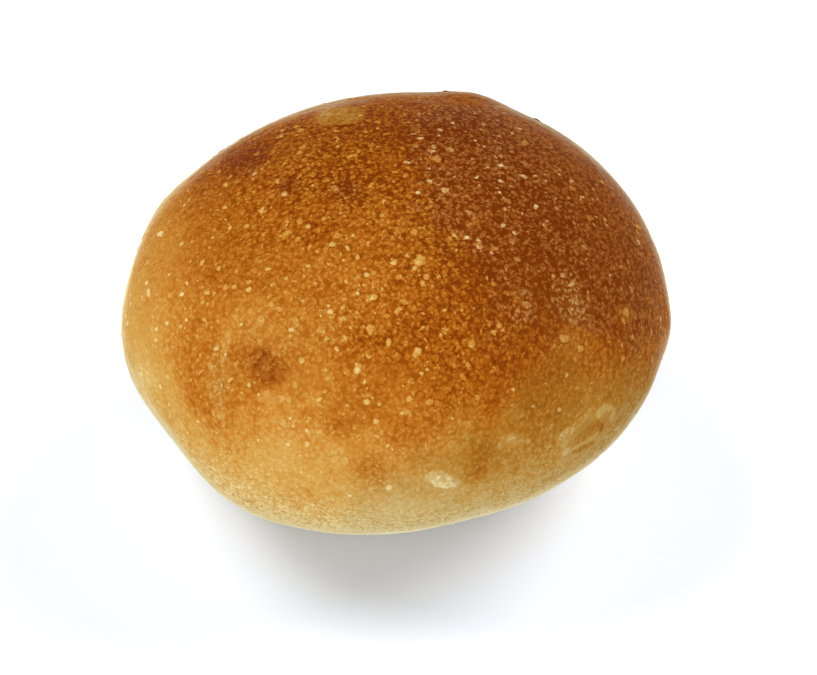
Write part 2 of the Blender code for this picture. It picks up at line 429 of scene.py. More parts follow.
def mix_colour(tree, share, under, over):
    made = tree.nodes.new("ShaderNodeMix")
    made.data_type = "RGBA"
    for name, kind, value in (
        ("Factor", "VALUE", share),
        ("A", "RGBA", under),
        ("B", "RGBA", over),
    ):
        socket = [s for s in made.inputs if s.name == name and s.type == kind][0]
        if isinstance(value, bpy.types.NodeSocket):
            tree.links.new(value, socket)
        else:
            socket.default_value = value
    return [s for s in made.outputs if s.type == "RGBA"][0]


crust_colour, given, result = open_group(
    "crust colour",
    "ShaderNodeTree",
    [
        ("Browning", "NodeSocketFloat", 0.5),
        ("Deep", "NodeSocketFloat", 0.0),
        ("Khaki", "NodeSocketFloat", 0.0),
        ("Flour", "NodeSocketFloat", 0.0),
    ],
    [("Color", "NodeSocketColor")],
)
baked = given.outputs["Browning"]
golden = ramp(crust_colour, GOLDEN, baked)
deep_brown = ramp(crust_colour, DEEP_BROWN, baked)
khaki_tone = ramp(crust_colour, KHAKI, baked)
tone = mix_colour(crust_colour, given.outputs["Deep"], golden, deep_brown)
tone = mix_colour(crust_colour, given.outputs["Khaki"], tone, khaki_tone)
tone = mix_colour(crust_colour, given.outputs["Flour"], tone, as_light(FLOUR))
crust_colour.links.new(tone, result.inputs["Color"])

# ---------------------------------------------------------------------------
# The fine mottling of the crust: tiny fermentation blisters, packed close, each
# paler than the ground between them. They show most where the crust is brown.

PEBBLE_SPACING = 0.00085
PEBBLE_MIDDLE, PEBBLE_SPREAD = 0.47, 0.150  # of the distances from a pebble's centre
PEBBLE_UNEVENNESS = 1.3  # how far one pebble's tone may be from the next one's
WORM_LENGTH, WORM_DETAIL, WORM_ROUGHNESS, WORM_SPREAD = 0.00134, 1.0, 0.6, 0.11
CURL_MIDDLE = 0.8  # the same waves folded over, as pale curls with dark between them
SAND_LENGTH, SAND_SPREAD = 0.00042, 0.11  # finer grain, near the foot only
WARP_LENGTH, WARP = 0.00090, 0.00100  # how unevenly all of them are shaped
WORM_SHARE, CURL_SHARE, PEBBLE_SHARE = 0.24, 0.55, 0.58
DARKEST_GRAIN = -1.5

# Dots: spacing (m), radius as a share of it, how many cells go without, and how soft
SPARKS = (0.00115, 0.30, 0.45, 0.4)
FLECKS = (0.0023, 0.29, 0.35, 0.25)
LEAST_DOT = 0.0001


def dots(tree, place, spacing, radius, empty, softness):
    """Round dots of uneven size, 1 inside and 0 outside."""
    cells = add(tree, "ShaderNodeTexVoronoi", {"Vector": place, "Scale": 1 / spacing})
    chance = add(tree, "ShaderNodeSeparateColor", {"Color": cells.outputs["Color"]})
    size = step_up(tree, chance.outputs["Red"], empty, 1.0)
    size = maths(tree, "MULTIPLY_ADD", size, radius, LEAST_DOT)
    inside = maths(tree, "DIVIDE", cells.outputs["Distance"], size)
    return step_up(tree, inside, 1.0 + softness, 1.0 - softness)


mottle, given, result = open_group(
    "mottle",
    "ShaderNodeTree",
    [("Place", "NodeSocketVector", None)],
    [(name, "NodeSocketFloat") for name in ("Grain", "Sand", "Sparks", "Flecks")],
)
place = given.outputs["Place"]
warp = thrown(mottle, cloudy(mottle, place, WARP_LENGTH, 0.0), WARP)
place = vector_maths(mottle, "ADD", place, warp)
pebbles = add(
    mottle, "ShaderNodeTexVoronoi", {"Vector": place, "Scale": 1 / PEBBLE_SPACING}
)
risen = maths(mottle, "SUBTRACT", PEBBLE_MIDDLE, pebbles.outputs["Distance"])
risen = maths(mottle, "DIVIDE", risen, PEBBLE_SPREAD)
own_tone = add(mottle, "ShaderNodeSeparateColor", {"Color": pebbles.outputs["Color"]})
own_tone = maths(mottle, "SUBTRACT", own_tone.outputs["Red"], 0.5)
risen = maths(mottle, "MULTIPLY_ADD", own_tone, PEBBLE_UNEVENNESS, risen)
worms = cloudy(mottle, place, WORM_LENGTH, WORM_DETAIL, WORM_ROUGHNESS)
worm = maths(mottle, "DIVIDE", off_half(mottle, worms), WORM_SPREAD)
curl = maths(mottle, "SUBTRACT", CURL_MIDDLE, maths(mottle, "ABSOLUTE", worm))
grain = maths(mottle, "MULTIPLY", worm, WORM_SHARE)
grain = maths(mottle, "MULTIPLY_ADD", curl, CURL_SHARE, grain)
grain = maths(mottle, "MULTIPLY_ADD", risen, PEBBLE_SHARE, grain)
grain = maths(mottle, "MAXIMUM", grain, DARKEST_GRAIN)
sparks = dots(mottle, place, *SPARKS)
flecks = dots(mottle, place, *FLECKS)
grains = cloudy(mottle, given.outputs["Place"], SAND_LENGTH, 0.0)
sand = maths(mottle, "DIVIDE", off_half(mottle, grains), SAND_SPREAD)
for found, name in zip((grain, sand, sparks, flecks), ("Grain", "Sand", "Sparks", "Flecks")):
    mottle.links.new(found, result.inputs[name])

# The crust's paint puts the three together, for the skin and for its blisters.

GRAIN_WHERE_PALE, GRAIN_WHERE_BROWN = 0.055, 0.190  # browning taken off at a grain
PALE_LEVEL, BROWN_LEVEL = 0.20, 0.85
KHAKI_CALM = -0.45  # khaki crust is smoother by this share
# how strong the dots and the sand are, as many times a grain
SPARK_STRENGTH, FLECK_STRENGTH, SAND_STRENGTH = 2.3, 1.9, 1.1
DEEP_FLECK_STRENGTH = 1.2  # more again for the flecks on deep brown
DUSTY_GRAINS = (-0.3, 2.2)  # flour sits on the grains, and little lies between them

crust_paint, given, result = open_group(
    "crust paint",
    "ShaderNodeTree",
    [
        ("Place", "NodeSocketVector", None),
        ("Paler", "NodeSocketFloat", 0.0),
        ("Mottling", "NodeSocketFloat", 1.0),
    ],
    [
        ("Color", "NodeSocketColor"),
        ("Browning", "NodeSocketFloat"),
        ("Relief", "NodeSocketFloat"),
    ],
)
baking = add(crust_paint, "ShaderNodeGroup", node_tree=bake)
speckle = add(crust_paint, "ShaderNodeGroup", node_tree=mottle)
for reader in (baking, speckle):
    crust_paint.links.new(given.outputs["Place"], reader.inputs["Place"])
brown_share = step_up(crust_paint, baking.outputs["Browning"], PALE_LEVEL, BROWN_LEVEL)
gain = GRAIN_WHERE_BROWN - GRAIN_WHERE_PALE
strength = maths(crust_paint, "MULTIPLY_ADD", brown_share, gain, GRAIN_WHERE_PALE)
smoother = maths(crust_paint, "MULTIPLY_ADD", baking.outputs["Khaki"], KHAKI_CALM, 1.0)
strength = maths(crust_paint, "MULTIPLY", strength, smoother)
strength = maths(crust_paint, "MULTIPLY", strength, baking.outputs["Graininess"])
strength = maths(crust_paint, "MULTIPLY", strength, given.outputs["Mottling"])
sparks, flecks = speckle.outputs["Sparks"], speckle.outputs["Flecks"]
sand = maths(crust_paint, "MULTIPLY", speckle.outputs["Sand"], baking.outputs["Sandiness"])
deep_flecks = maths(crust_paint, "MULTIPLY", flecks, baking.outputs["Deep"])
dotted = speckle.outputs["Grain"]
for marks, times in (
    (sparks, SPARK_STRENGTH),
    (flecks, FLECK_STRENGTH),
    (sand, SAND_STRENGTH),
):
    dotted = maths(crust_paint, "MULTIPLY_ADD", marks, times, dotted)
lighter = maths(crust_paint, "MULTIPLY_ADD", deep_flecks, DEEP_FLECK_STRENGTH, dotted)
lighter = maths(crust_paint, "MULTIPLY", lighter, strength)
lighter = maths(crust_paint, "ADD", lighter, given.outputs["Paler"])
shade = maths(crust_paint, "SUBTRACT", baking.outputs["Browning"], lighter)
dusted = step_up(crust_paint, speckle.outputs["Grain"], *DUSTY_GRAINS)
dusted = maths(crust_paint, "MULTIPLY", dusted, baking.outputs["Flour"], clamp=True)
paint = add(crust_paint, "ShaderNodeGroup", node_tree=crust_colour)
for source, target in (
    (shade, paint.inputs["Browning"]),
    (baking.outputs["Deep"], paint.inputs["Deep"]),
    (baking.outputs["Khaki"], paint.inputs["Khaki"]),
    (dusted, paint.inputs["Flour"]),
    (paint.outputs["Color"], result.inputs["Color"]),
    (baking.outputs["Browning"], result.inputs["Browning"]),
    (dotted, result.inputs["Relief"]),
):
    crust_paint.links.new(source, target)

# ---------------------------------------------------------------------------
# The crust: the dried and browned outer skin of the dough, all in one. It is an
# even mesh laid over the form by rays from outside, then puckered along its
# normals, with its larger blisters and folds raised or sunk.

ROUGH_PALE, ROUGH_BROWN = 0.72, 0.52
DRY_GLOSS = 0.01  # the shader's specular level
BUMP_HEIGHT = 0.00004
DUST_START = 0.70  # how edge-on the crust is where its flour dust starts to show
DUST_CURVE, DUST_MOST = 1.5, 1.9
DUST_ROUGHNESS, DUST_TINT = 0.45, (1.0, 0.97, 0.64, 1.0)
DUST_LOST, LOAF_RADIUS = 0.58, 0.050  # less dust lies where the heat browned it most


def crust_material(name, mottling, dusty=False, paler=None):
    """Baked crust mottled this much, and paler by the attribute of that name."""
    material = bpy.data.materials.new(name)
    material.use_nodes = True
    tree = material.node_tree
    shader = tree.nodes["Principled BSDF"]
    shader.inputs["Specular IOR Level"].default_value = DRY_GLOSS
    where = add(tree, "ShaderNodeTexCoord").outputs["Object"]
    if dusty:
        shader.inputs["Sheen Roughness"].default_value = DUST_ROUGHNESS
        shader.inputs["Sheen Tint"].default_value = DUST_TINT
        edge_on = add(tree, "ShaderNodeLayerWeight", {"Blend": 0.5}).outputs["Facing"]
        dust = {"Value": edge_on, "From Min": DUST_START, "From Max": 1.0}
        dust = add(tree, "ShaderNodeMapRange", dust).outputs["Result"]
        dust = maths(tree, "POWER", dust, DUST_CURVE)
        dust = maths(tree, "MULTIPLY", dust, DUST_MOST)
        heated = vector_maths(tree, "SUBTRACT", where, MIDDLE)
        heated = vector_maths(tree, "DOT_PRODUCT", heated, HOTTEST)
        heated = maths(tree, "DIVIDE", heated, LOAF_RADIUS)
        heated = maths(tree, "ADD", heated, BROWNING_AT_MIDDLE)
        left = maths(tree, "SUBTRACT", 1.0, maths(tree, "MULTIPLY", heated, DUST_LOST))
        dust = maths(tree, "MULTIPLY", dust, left)
        tree.links.new(dust, shader.inputs["Sheen Weight"])
    painted = add(tree, "ShaderNodeGroup", node_tree=crust_paint)
    tree.links.new(where, painted.inputs["Place"])
    if paler:
        paleness = add(tree, "ShaderNodeAttribute", attribute_name=paler)
        tree.links.new(paleness.outputs["Fac"], painted.inputs["Paler"])
    painted.inputs["Mottling"].default_value = mottling
    tree.links.new(painted.outputs["Color"], shader.inputs["Base Color"])
    rough = add(
        tree,
        "ShaderNodeMapRange",
        {
            "Value": painted.outputs["Browning"],
            "From Min": PALE_LEVEL,
            "From Max": BROWN_LEVEL,
            "To Min": ROUGH_PALE,
            "To Max": ROUGH_BROWN,
        },
    )
    tree.links.new(rough.outputs["Result"], shader.inputs["Roughness"])
    bump = add(
        tree,
        "ShaderNodeBump",
        {
            "Height": painted.outputs["Relief"],
            "Strength": mottling,
            "Distance": BUMP_HEIGHT,
        },
    )
    tree.links.new(bump.outputs["Normal"], shader.inputs["Normal"])
    return material


crust = crust_material("baked crust", mottling=1.0, dusty=True)

CELLS_A_SIDE = 128
FLATNESS = 0.78  # the rays' own shape, near the loaf's, so that the cells are even
PUCKER_HEIGHT, PUCKER_LENGTH = 0.00024, 0.0032
SKIN_REACH = 0.12  # the rays start this far from the middle
PUCKERS_START, PUCKERS_FULL = 0.0004, 0.006  # levels over which the puckers begin

skin, given, result = open_group(
    "crust skin",
    "GeometryNodeTree",
    [
        ("Geometry", "NodeSocketGeometry", None),
        ("Form", "NodeSocketObject", None),
        ("Middle", "NodeSocketVector", tuple(MIDDLE)),
        ("Cells a side", "NodeSocketInt", CELLS_A_SIDE),
        ("Flatness", "NodeSocketFloat", FLATNESS),
        ("Pucker height", "NodeSocketFloat", PUCKER_HEIGHT),
        ("Pucker length", "NodeSocketFloat", PUCKER_LENGTH),
        ("Crust", "NodeSocketMaterial", None),
    ],
    [("Geometry", "NodeSocketGeometry")],
)
edge_points = maths(skin, "ADD", given.outputs["Cells a side"], 1)
block = add(
    skin,
    "GeometryNodeMeshCube",
    {
        "Size": (2.0, 2.0, 2.0),
        "Vertices X": edge_points,
        "Vertices Y": edge_points,
        "Vertices Z": edge_points,
    },
)
corner = add(skin, "GeometryNodeInputPosition").outputs["Position"]
turned = vector_maths(skin, "MULTIPLY", corner, (math.pi / 4,) * 3)
even = vector_maths(skin, "TANGENT", turned)
squash = add(
    skin, "ShaderNodeCombineXYZ", {"X": 1.0, "Y": 1.0, "Z": given.outputs["Flatness"]}
)
ray = vector_maths(skin, "MULTIPLY", even, squash.outputs["Vector"])
ray = vector_maths(skin, "NORMALIZE", ray)
far_off = vector_maths(skin, "MULTIPLY", ray, (SKIN_REACH,) * 3)
start = vector_maths(skin, "ADD", far_off, given.outputs["Middle"])
inward = vector_maths(skin, "MULTIPLY", ray, (-1.0,) * 3)
body = add(skin, "GeometryNodeObjectInfo", {"Object": given.outputs["Form"]})
hit = add(
    skin,
    "GeometryNodeRaycast",
    {
        "Target Geometry": body.outputs["Geometry"],
        "Source Position": start,
        "Ray Direction": inward,
        "Ray Length": 2 * SKIN_REACH,
    },
)
laid = add(
    skin,
    "GeometryNodeSetPosition",
    {"Geometry": block.outputs["Mesh"], "Position": hit.outputs["Hit Position"]},
)
here = add(skin, "GeometryNodeInputPosition").outputs["Position"]
pucker_scale = maths(skin, "DIVIDE", 1.0, given.outputs["Pucker length"])
puckers = add(
    skin, "ShaderNodeTexNoise", {"Vector": here, "Scale": pucker_scale, "Detail": 2.0}
)
pucker = maths(skin, "SUBTRACT", puckers.outputs["Fac"], 0.5)
pucker = maths(skin, "MULTIPLY", pucker, given.outputs["Pucker height"])
off_floor = step_up(skin, part(skin, here, "Z"), PUCKERS_START, PUCKERS_FULL)
pucker = maths(skin, "MULTIPLY", pucker, off_floor)
normal = add(skin, "GeometryNodeInputNormal").outputs["Normal"]
push = add(skin, "ShaderNodeVectorMath", {0: normal, "Scale": pucker}, operation="SCALE")
puckered = add(
    skin,
    "GeometryNodeSetPosition",
    {"Geometry": laid.outputs["Geometry"], "Offset": push.outputs["Vector"]},
)
smooth = add(
    skin, "GeometryNodeSetShadeSmooth", {"Geometry": puckered.outputs["Geometry"]}
)
whole = add(
    skin, "GeometryNodeRealizeInstances", {"Geometry": smooth.outputs["Geometry"]}
)
crusted = add(
    skin,
    "GeometryNodeSetMaterial",
    {"Geometry": whole.outputs["Geometry"], "Material": given.outputs["Crust"]},
)
skin.links.new(crusted.outputs["Geometry"], result.inputs["Geometry"])


def grown(name, tree, values):
    """The plain mesh object that a Geometry Nodes tree makes with these inputs."""
    seed_object = bpy.data.objects.new(name + "_seed", bpy.data.meshes.new(name))
    bpy.context.scene.collection.objects.link(seed_object)
    modifier = seed_object.modifiers.new(name, "NODES")
    modifier.node_group = tree
    for item in tree.interface.items_tree:
        if item.item_type == "SOCKET" and item.name in values:
            modifier[item.identifier] = values[item.name]
    graph = bpy.context.evaluated_depsgraph_get()
    mesh = bpy.data.meshes.new_from_object(seed_object.evaluated_get(graph))
    bpy.data.objects.remove(seed_object)
    piece = bpy.data.objects.new(name, mesh)
    bpy.context.scene.collection.objects.link(piece)
    return piece


loaf_crust = grown("loaf_crust", skin, {"Form": form, "Crust": crust})
bpy.data.objects.remove(form)

# Azimuth, elevation, half length, half width (mm), turn (degrees), then how far the
# middle stands proud and how far its rim does (mm)
FOLDS = {
    "window": (117, 53, 4.6, 4.3, -25, -0.08, 0.08),
    "side skin": (315, 2, 7.2, 4.2, 12, -0.12, 0.1),
    "side band": (313, 7, 4.4, 0.9, 15, 0.1, 0),
    "side hollow": (315, 2, 3.4, 1.8, 10, -0.14, 0),
    "side crease": (314, -2, 2.7, 1, -14, -0.14, 0),
    "side knob, high": (320, 6, 1.7, 1.3, -10, 0.2, 0.06),
    "side knob, foot": (323, 3, 1.3, 0.9, 63, 0.14, 0),
    "side knob, low": (309, 1, 1.1, 0.9, 34, 0.26, 0),
    "left dent": (227, 18, 6, 3, -60, -0.18, 0),
    "left ring": (227, 18, 5.2, 2.1, -62, -0.1, 0.12),
    "left loop, top": (225, 26, 2.2, 0.9, -64, 0.14, 0),
    "smudge, core": (236, 26, 4, 2.6, 10, -0.22, 0),
    "pale oval, right": (233, 26, 1.2, 0.7, 44, 0.14, 0),
    "orange oval": (270, 17, 2.4, 2.2, 0, 0.16, 0),
    "scab": (280, 4, 3.4, 1.6, -28, 0.22, 0),
    "crown smudge": (204, 74, 2.8, 2.8, 0, -0.14, 0),
}
FOLD_STEEPNESS = 4  # a flat middle with a clear edge
RIM_WIDTH = 0.24  # as a share of the fold's half length or width


def fold(mesh, marks):
    """Moves the mesh's points along its normals, in and out, at each mark."""
    places = np.empty(3 * len(mesh.vertices), np.float32)
    mesh.vertices.foreach_get("co", places)
    places = places.reshape(-1, 3)
    normals = np.empty(3 * len(mesh.vertices), np.float32)
    mesh.vertex_normals.foreach_get("vector", normals)
    heights = np.zeros(len(places))
    for azimuth, elevation, half_length, half_width, turn, middle, rim in marks.values():
        axes = facing(outward(azimuth, elevation), turn)
        own = (places - on_skin(azimuth, elevation)) @ axes / MILLIMETRE
        away = np.hypot(own[:, 0] / half_length, own[:, 1] / half_width)
        near = np.abs(own[:, 2]) < MARK_DEPTH
        share = np.exp(-(away**FOLD_STEEPNESS)) * middle
        ring = np.exp(-(((away - 1) / RIM_WIDTH) ** 2)) * rim
        heights += np.where(near, share + ring, 0.0)
    places += normals.reshape(-1, 3) * heights[:, None] * MILLIMETRE
    mesh.vertices.foreach_set("co", places.ravel())
    mesh.update()


fold(loaf_crust.data, FOLDS)
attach(loaf_crust, "root")
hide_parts("loaf")

# ---------------------------------------------------------------------------
# Small blisters: bubbles of gas that rose through the dough's skin and dried pale,
# 0.6 to 1.8 mm across and hardly raised. They are strewn over the crust, closest on
# the crown, by Geometry Nodes.

blister_skin = crust_material("blister skin", mottling=0.5, paler="paleness")

CROWDED_WAY, CROWDED_OVER = outward(235, 70), (0.2, 0.97)
LEAST_CROWDED = 0.05
BARE_LEVEL, STREWN_LEVEL = 0.004, 0.014  # none lie below the first of these levels
FLOCK_LENGTH, FLOCK_DETAIL, FLOCK_OVER = 0.009, 1.0, (0.34, 0.66)
FEW_ARE_LARGE = 3.0  # how much rarer a large bubble is than a small one
NARROWEST = 0.6  # a bubble's width as a share of its length
RIM_START, RIM_END = 0.05, 0.75  # heights on a bubble over which its paleness begins
DENT_LENGTH, DENT_DETAIL, DENT = 0.00060, 1.0, 0.00045

strewn, given, result = open_group(
    "strewn blisters",
    "GeometryNodeTree",
    [
        ("Geometry", "NodeSocketGeometry", None),
        ("Skin", "NodeSocketObject", None),
        ("Closest", "NodeSocketFloat", 0.0012),
        ("Most", "NodeSocketFloat", 600000.0),
        ("Smallest", "NodeSocketFloat", 0.00028),
        ("Largest", "NodeSocketFloat", 0.00090),
        ("Height share", "NodeSocketFloat", 0.19),
        ("Least pale", "NodeSocketFloat", 0.08),
        ("Most pale", "NodeSocketFloat", 0.42),
        ("Seed", "NodeSocketInt", 7),
        ("Material", "NodeSocketMaterial", None),
    ],
    [("Geometry", "NodeSocketGeometry")],
)
ground = add(strewn, "GeometryNodeObjectInfo", {"Object": given.outputs["Skin"]})
here = add(strewn, "GeometryNodeInputPosition").outputs["Position"]
away = vector_maths(strewn, "SUBTRACT", here, MIDDLE)
away = vector_maths(strewn, "NORMALIZE", away)
crowd = vector_maths(strewn, "DOT_PRODUCT", away, CROWDED_WAY)
crowd = step_up(strewn, crowd, *CROWDED_OVER)
crowd = maths(strewn, "MULTIPLY_ADD", crowd, 1 - LEAST_CROWDED, LEAST_CROWDED)
level = step_up(strewn, part(strewn, here, "Z"), BARE_LEVEL, STREWN_LEVEL)
crowd = maths(strewn, "MULTIPLY", crowd, level)
flocks = cloudy(strewn, here, FLOCK_LENGTH, FLOCK_DETAIL).outputs["Fac"]
crowd = maths(strewn, "MULTIPLY", crowd, step_up(strewn, flocks, *FLOCK_OVER))
points = add(
    strewn,
    "GeometryNodeDistributePointsOnFaces",
    {
        "Mesh": ground.outputs["Geometry"],
        "Distance Min": given.outputs["Closest"],
        "Density Max": given.outputs["Most"],
        "Density Factor": crowd,
        "Seed": given.outputs["Seed"],
    },
    distribute_method="POISSON",
)


def random_value(tree, seed, low=0.0, high=1.0):
    made = add(tree, "FunctionNodeRandomValue", {2: low, 3: high, "Seed": seed})
    return made.outputs[1]


SIZE_SEED, WIDTH_SEED, SPIN_SEED, TONE_SEED = 11, 12, 13, 14

smallest = given.outputs["Smallest"]
luck = maths(strewn, "POWER", random_value(strewn, SIZE_SEED), FEW_ARE_LARGE)
spread = maths(strewn, "SUBTRACT", given.outputs["Largest"], smallest)
radius = maths(strewn, "MULTIPLY_ADD", luck, spread, smallest)
narrowing = random_value(strewn, WIDTH_SEED, NARROWEST, 1.0)
narrow = maths(strewn, "MULTIPLY", radius, narrowing)
rise = maths(strewn, "MULTIPLY", radius, given.outputs["Height share"])
bubble_size = add(strewn, "ShaderNodeCombineXYZ", {"X": radius, "Y": narrow, "Z": rise})
bubble = add(strewn, "GeometryNodeMeshIcoSphere", {"Radius": 1.0, "Subdivisions": 2})
capped = add(
    strewn,
    "GeometryNodeStoreNamedAttribute",
    {
        "Geometry": bubble.outputs["Mesh"],
        "Name": "cap",
        "Value": step_up(strewn, part(strewn, here, "Z"), RIM_START, RIM_END),
    },
    domain="POINT",
)
placed = add(
    strewn,
    "GeometryNodeInstanceOnPoints",
    {
        "Points": points.outputs["Points"],
        "Instance": capped.outputs["Geometry"],
        "Rotation": points.outputs["Rotation"],
        "Scale": bubble_size.outputs["Vector"],
    },
)
around = random_value(strewn, SPIN_SEED, 0.0, 2 * math.pi)
spin = add(strewn, "ShaderNodeCombineXYZ", {"Z": around})
spun = add(
    strewn,
    "GeometryNodeRotateInstances",
    {"Instances": placed.outputs["Instances"], "Rotation": spin.outputs["Vector"]},
)
pale_range = (given.outputs["Least pale"], given.outputs["Most pale"])
toned = add(
    strewn,
    "GeometryNodeStoreNamedAttribute",
    {
        "Geometry": spun.outputs["Instances"],
        "Name": "own paleness",
        "Value": random_value(strewn, TONE_SEED, *pale_range),
    },
    domain="INSTANCE",
)
real = add(strewn, "GeometryNodeRealizeInstances", {"Geometry": toned.outputs["Geometry"]})
cap = add(strewn, "GeometryNodeInputNamedAttribute", {"Name": "cap"})
own_paleness = add(strewn, "GeometryNodeInputNamedAttribute", {"Name": "own paleness"})
paleness = maths(
    strewn, "MULTIPLY", cap.outputs["Attribute"], own_paleness.outputs["Attribute"]
)
faded = add(
    strewn,
    "GeometryNodeStoreNamedAttribute",
    {"Geometry": real.outputs["Geometry"], "Name": "paleness", "Value": paleness},
    domain="POINT",
)
dent = thrown(strewn, cloudy(strewn, here, DENT_LENGTH, DENT_DETAIL), DENT)
uneven = add(
    strewn,
    "GeometryNodeSetPosition",
    {"Geometry": faded.outputs["Geometry"], "Offset": dent},
)
smooth = add(strewn, "GeometryNodeSetShadeSmooth", {"Geometry": uneven.outputs["Geometry"]})
finished = add(
    strewn,
    "GeometryNodeSetMaterial",
    {"Geometry": smooth.outputs["Geometry"], "Material": given.outputs["Material"]},
)
strewn.links.new(finished.outputs["Geometry"], result.inputs["Geometry"])

small_blisters = grown(
    "small_blisters", strewn, {"Skin": loaf_crust, "Material": blister_skin}
)
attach(small_blisters, "root")

# ---------------------------------------------------------------------------
# Large blisters: the biggest of the same bubbles, where the loaf has them. Each is
# a flattened bubble, a little uneven, seated on the skin.

# azimuth, elevation, half length, half width (mm), turn (degrees), how much paler
LARGE_BLISTERS = (
    (282, 57, 1.54, 1.28, 48, 0.40),
    (279, 55, 0.75, 0.42, 50, 0.45),
    (289, 59, 1.12, 0.79, -50, 0.14),
    (276, 34, 1.18, 0.94, 66, 0.40),
    (276, 32, 0.74, 0.74, 86, 0.18),
    (262, 39, 1.35, 0.95, 89, 0.30),
    (260, 31, 0.83, 0.83, -20, 0.26),
    (317, 26, 1.14, 0.95, -30, 0.30),
    (271, 44, 0.97, 0.59, 52, 0.34),
    (273, 46, 0.95, 0.71, -40, 0.28),
    (262, 47, 0.84, 0.63, 34, 0.34),
    (269, 57, 0.86, 0.75, -89, 0.42),
    (273, 67, 0.95, 0.93, -1, 0.22),
    (30, 76, 1.24, 0.99, -22, 0.34),
    (335, 74, 0.85, 0.80, -40, 0.46),
    (328, 74, 0.77, 0.52, -52, 0.30),
    (36, 70, 1.07, 0.70, -2, 0.46),
    (66, 76, 1.01, 0.70, -15, 0.36),
    (48, 73, 0.67, 0.64, -72, 0.40),
    (356, 36, 1.10, 0.84, -55, 0.30),
    (30, 47, 1.37, 0.78, -60, 0.32),
    (326, 41, 0.64, 0.43, -38, 0.22),
    (334, 43, 0.94, 0.87, 45, 0.16),
    (5, 21, 1.30, 0.90, -50, 0.30),
    (236, 58, 0.75, 0.63, -87, 0.40),
    (235, 61, 0.86, 0.63, 83, 0.26),
    (220, 63, 0.78, 0.76, 41, 0.22),
    (212, 58, 0.82, 0.79, -25, 0.26),
    (213, 53, 1.40, 0.78, 63, 0.28),
    (194, 51, 0.80, 0.66, -33, 0.40),
    (221, 44, 0.61, 0.43, 35, 0.34),
    (233, 50, 0.64, 0.58, -63, 0.30),
    (251, 57, 0.69, 0.60, -54, 0.30),
    (137, 51, 1.14, 0.87, -88, 0.40),
    (156, 67, 1.05, 0.81, 38, 0.26),
    (124, 77, 1.04, 0.59, 52, 0.32),
    (180, 24, 1.47, 0.71, 42, 0.34),
    (195, 19, 1.05, 0.71, -11, 0.30),
    (206, 15, 0.74, 0.39, 39, 0.20),
    (211, 22, 0.81, 0.59, 36, 0.16),
    (230, 20, 1.02, 0.44, 48, 0.24),
    (252, 23, 0.95, 0.53, 64, 0.24),
    (274, 28, 0.83, 0.67, 22, 0.24),
    (281, 30, 0.56, 0.56, -8, 0.28),
    (284, 36, 0.76, 0.56, -10, 0.20),
    (303, 61, 0.57, 0.46, -27, 0.40),
    (257, 72, 0.83, 0.45, 76, 0.28),
    (273, 21, 0.93, 0.76, -4, 0.12),
    (266, 16, 0.56, 0.41, 1, 0.22),
    (290, 22, 0.59, 0.56, -14, 0.24),
    (337, 20, 1.12, 0.95, 4, 0.24),
    (346, 26, 0.61, 0.45, -45, 0.30),
    (233, 38, 0.79, 0.59, 25, 0.14),
    (230, 34, 0.82, 0.64, 40, 0.16),
    (105, 40, 1.20, 0.95, 15, 0.28),
    (75, 33, 0.90, 0.80, 0, 0.24),
    (48, 28, 1.10, 0.75, 40, 0.30),
    (128, 25, 0.85, 0.70, -20, 0.22),
    (150, 58, 0.95, 0.75, 30, 0.30),
    (15, 52, 0.90, 0.80, 10, 0.26),
)
BUBBLE_RISE = 0.18  # height as a share of half the width
BUBBLE_UNEVENNESS = 0.00030
BUBBLE_UNEVEN_LENGTH = 0.0009
BUBBLE_SEED = 12  # without it, each run would bend the bubbles another way

crust_top = BVHTree.FromObject(loaf_crust, bpy.context.evaluated_depsgraph_get())
noise.seed_set(BUBBLE_SEED)


def add_bubble(mesh, azimuth, elevation, half_length, half_width, rise, turn, pale):
    """A flattened ball, sunk to its widest in the crust there, and this much paler."""
    place, way_out = crust_top.ray_cast(MIDDLE, outward(azimuth, elevation))[:2]
    seat = Matrix.Translation(place) @ facing(way_out, turn).to_4x4()
    shape = Matrix.Diagonal((half_length, half_width, rise, 1.0))
    made = bmesh.ops.create_icosphere(
        mesh, subdivisions=3, radius=1.0, matrix=seat @ shape
    )
    paleness = mesh.verts.layers.float["paleness"]
    for vert in made["verts"]:
        way_up = (vert.co - place).dot(way_out) / rise
        share = (way_up - RIM_START) / (RIM_END - RIM_START)
        vert[paleness] = pale * min(1.0, max(0.0, share))
        bend = noise.noise_vector(vert.co / BUBBLE_UNEVEN_LENGTH)
        vert.co += bend * BUBBLE_UNEVENNESS


def mesh_piece(name, mesh, material):
    """A finished piece from a bmesh, shaded smooth."""
    data = bpy.data.meshes.new(name)
    mesh.to_mesh(data)
    mesh.free()
    data.shade_smooth()
    data.materials.append(material)
    piece = bpy.data.objects.new(name, data)
    bpy.context.scene.collection.objects.link(piece)
    return piece


def new_bubbles():
    mesh = bmesh.new()
    mesh.verts.layers.float.new("paleness")
    return mesh


bubbles = new_bubbles()
for azimuth, elevation, half_length, half_width, turn, pale in LARGE_BLISTERS:
    long_way, width = half_length * MILLIMETRE, half_width * MILLIMETRE
    rise = width * BUBBLE_RISE
    add_bubble(bubbles, azimuth, elevation, long_way, width, rise, turn, pale)
large_blisters = mesh_piece("large_blisters", bubbles, blister_skin)
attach(large_blisters, "root")

# ---------------------------------------------------------------------------
# The scab: a smear of flour and water that dried and cracked low on the front, as a
# patch of small pale lumps with pits between them. Each lump is a tiny bubble's shape.

